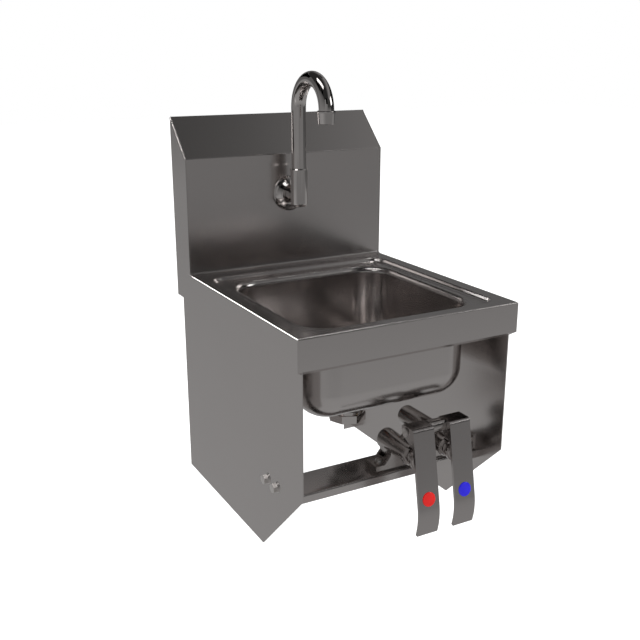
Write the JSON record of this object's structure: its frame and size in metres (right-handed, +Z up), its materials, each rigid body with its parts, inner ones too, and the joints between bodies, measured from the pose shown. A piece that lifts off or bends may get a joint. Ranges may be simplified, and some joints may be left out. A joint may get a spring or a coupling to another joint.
{
  "type": "hand wash sink",
  "caption": "Wall-hung stainless hand wash sink with splash, side skirts, swivel gooseneck spout and knee-lever valves for hot and cold water.",
  "frame": {"origin": "centre of the wall bracket's four holes, on the wall plane, level with the top of the deck", "axes": "+X to the right seen from the front, +Y into the wall, +Z up"},
  "size_m": [0.321, 0.3974, 0.6018],
  "materials": {
    "brushed_sheet": "satin brushed stainless sheet",
    "lever_steel": "satin stainless plate",
    "cast_metal": "dark bright plated casting",
    "chrome_plate": "bright chrome plate",
    "bright_steel": "bright steel fastener",
    "zinc_steel": "zinc-plated steel",
    "raw_brass": "machined brass",
    "black_rubber": "matt black rubber",
    "fibre_washer": "red-brown fibre",
    "dark_plastic": "dark moulded plastic",
    "seal_white": "white sealing ring",
    "red_dot": "glossy red",
    "blue_dot": "glossy blue"
  },
  "bodies": {
    "sink": {"basin": "brushed_sheet", "backsplash": "brushed_sheet", "splash_end_left": "brushed_sheet", "splash_end_right": "brushed_sheet", "skirt_left": "brushed_sheet", "skirt_right": "brushed_sheet", "wall_bracket": "zinc_steel", "hanger_strip": "brushed_sheet", "valve_rail": "brushed_sheet", "rail_bolts": "bright_steel", "rail_nuts": "bright_steel", "drain_body": "chrome_plate", "drain_strainer": "chrome_plate", "drain_gasket": "black_rubber", "drain_washer": "fibre_washer", "drain_locknut": "zinc_steel", "slip_nut": "chrome_plate", "slip_washer": "black_rubber", "faucet_escutcheon": "chrome_plate", "faucet_shank": "raw_brass", "shank_washer": "zinc_steel", "shank_nut": "raw_brass", "faucet_body": "chrome_plate", "spout_nut": "chrome_plate", "valve_body": "cast_metal", "inlet_fitting_hot": "raw_brass", "inlet_fitting_cold": "raw_brass", "outlet_fitting": "raw_brass", "bonnet_hot": "chrome_plate", "bonnet_cold": "chrome_plate", "packing_hot": "seal_white", "packing_cold": "seal_white", "packing_nut_hot": "chrome_plate", "packing_nut_cold": "chrome_plate", "pivot_pin": "bright_steel", "pivot_clip": "bright_steel", "foot_screws": "bright_steel", "foot_nuts": "bright_steel", "spring_hot": "bright_steel", "spring_cold": "bright_steel"},
    "spout_swivel": {"spout": "chrome_plate", "spout_seals": "black_rubber", "outlet_sleeve": "chrome_plate", "aerator": "dark_plastic"},
    "lever_hot_body": {"lever_hot": "lever_steel", "index_hot": "red_dot"},
    "lever_cold_body": {"lever_cold": "lever_steel", "index_cold": "blue_dot"},
    "stem_hot_body": {"stem_hot": "bright_steel", "poppet_hot": "black_rubber"},
    "stem_cold_body": {"stem_cold": "bright_steel", "poppet_cold": "black_rubber"}
  },
  "joints": [
    {"name": "spout_turn", "type": "hinge", "parent": "sink", "child": "spout_swivel", "pos_m": [0, -0.087, 0.143], "axis": [0, 0, 1], "range_deg": [-100, 100]},
    {"name": "hot_push", "type": "hinge", "parent": "sink", "child": "lever_hot_body", "pos_m": [0.0243, -0.361, -0.158], "axis": [1, 0, 0], "range_deg": [0, 9], "stiffness_Nm_per_rad": 2, "springref_deg": -5.73},
    {"name": "cold_push", "type": "hinge", "parent": "sink", "child": "lever_cold_body", "pos_m": [0.0813, -0.361, -0.158], "axis": [1, 0, 0], "range_deg": [0, 9], "stiffness_Nm_per_rad": 2, "springref_deg": -5.73},
    {"name": "hot_stem_slide", "type": "slide", "parent": "sink", "child": "stem_hot_body", "axis": [0, 1, 0], "range_m": [0, 0.0067], "deforming": ["spring_hot"]},
    {"name": "cold_stem_slide", "type": "slide", "parent": "sink", "child": "stem_cold_body", "axis": [0, 1, 0], "range_m": [0, 0.0067], "deforming": ["spring_cold"]}
  ],
  "couplings": [
    {"joint": "hot_stem_slide", "follows": "hot_push", "m_per_rad": 0.0419},
    {"joint": "cold_stem_slide", "follows": "cold_push", "m_per_rad": 0.0419}
  ]
}
